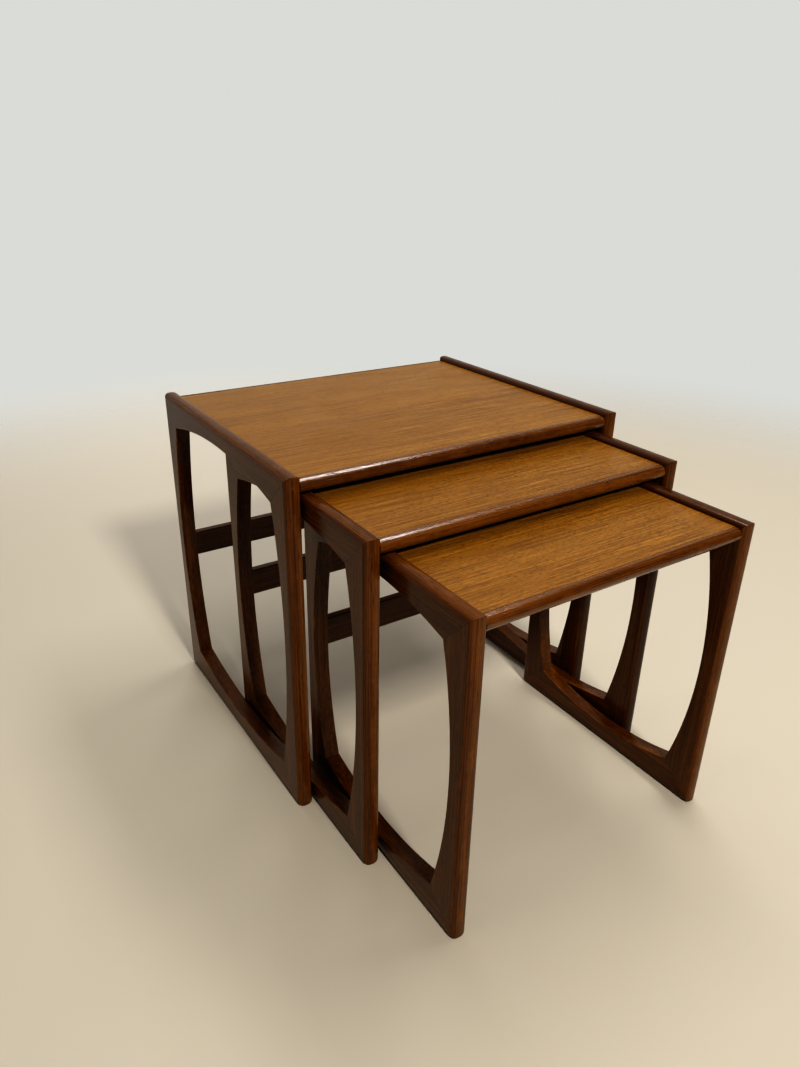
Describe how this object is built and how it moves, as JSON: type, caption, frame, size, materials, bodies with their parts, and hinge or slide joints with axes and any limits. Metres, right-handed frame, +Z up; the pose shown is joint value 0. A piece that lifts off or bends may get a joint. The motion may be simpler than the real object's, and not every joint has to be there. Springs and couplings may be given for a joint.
{
  "type": "nesting tables",
  "caption": "Nest of side tables on closed side frames with mitred corners and waisted members; the smaller ones slide under the larger.",
  "frame": {"origin": "on the floor, under the centre of the box around the nest with its tables pulled out as stored", "axes": "+X to the right across the nest, +Y to the back, -Y to the front, where the smaller tables pull out, +Z up"},
  "size_m": [0.535, 0.7, 0.485],
  "materials": {
    "solid_teak": "satin lacquered solid teak, dark reddish brown",
    "teak_veneer": "satin lacquered straight-grained teak veneer, golden brown",
    "backing_veneer": "plain sealed backing veneer",
    "chipboard": "raw board core",
    "beech": "plain beech dowel"
  },
  "bodies": {
    "large_table": {"large_left_top_rail": "solid_teak", "large_left_runner": "solid_teak", "large_left_front_leg": "solid_teak", "large_left_rear_leg": "solid_teak", "large_right_top_rail": "solid_teak", "large_right_runner": "solid_teak", "large_right_front_leg": "solid_teak", "large_right_rear_leg": "solid_teak", "large_board_core": "chipboard", "large_top_veneer": "teak_veneer", "large_under_veneer": "backing_veneer", "large_front_lipping": "solid_teak", "large_rear_lipping": "solid_teak", "large_rear_stretcher": "solid_teak", "large_front_board_dowel_left": "beech", "large_rear_board_dowel_left": "beech", "large_stretcher_dowel_left": "beech", "large_front_board_dowel_right": "beech", "large_rear_board_dowel_right": "beech", "large_stretcher_dowel_right": "beech"},
    "middle_table": {"middle_left_top_rail": "solid_teak", "middle_left_runner": "solid_teak", "middle_left_front_leg": "solid_teak", "middle_left_rear_leg": "solid_teak", "middle_right_top_rail": "solid_teak", "middle_right_runner": "solid_teak", "middle_right_front_leg": "solid_teak", "middle_right_rear_leg": "solid_teak", "middle_board_core": "chipboard", "middle_top_veneer": "teak_veneer", "middle_under_veneer": "backing_veneer", "middle_front_lipping": "solid_teak", "middle_rear_lipping": "solid_teak", "middle_rear_stretcher": "solid_teak", "middle_front_board_dowel_left": "beech", "middle_rear_board_dowel_left": "beech", "middle_stretcher_dowel_left": "beech", "middle_front_board_dowel_right": "beech", "middle_rear_board_dowel_right": "beech", "middle_stretcher_dowel_right": "beech"},
    "small_table": {"small_left_top_rail": "solid_teak", "small_left_runner": "solid_teak", "small_left_front_leg": "solid_teak", "small_left_rear_leg": "solid_teak", "small_right_top_rail": "solid_teak", "small_right_runner": "solid_teak", "small_right_front_leg": "solid_teak", "small_right_rear_leg": "solid_teak", "small_board_core": "chipboard", "small_top_veneer": "teak_veneer", "small_under_veneer": "backing_veneer", "small_front_lipping": "solid_teak", "small_rear_lipping": "solid_teak", "small_rear_stretcher": "solid_teak", "small_front_board_dowel_left": "beech", "small_rear_board_dowel_left": "beech", "small_stretcher_dowel_left": "beech", "small_front_board_dowel_right": "beech", "small_rear_board_dowel_right": "beech", "small_stretcher_dowel_right": "beech"}
  },
  "joints": [
    {"name": "middle_slide", "type": "slide", "parent": "large_table", "child": "middle_table", "axis": [0, -1, 0], "range_m": [-0.153, 0.3]},
    {"name": "small_slide", "type": "slide", "parent": "middle_table", "child": "small_table", "axis": [0, -1, 0], "range_m": [-0.161, 0.25]}
  ]
}
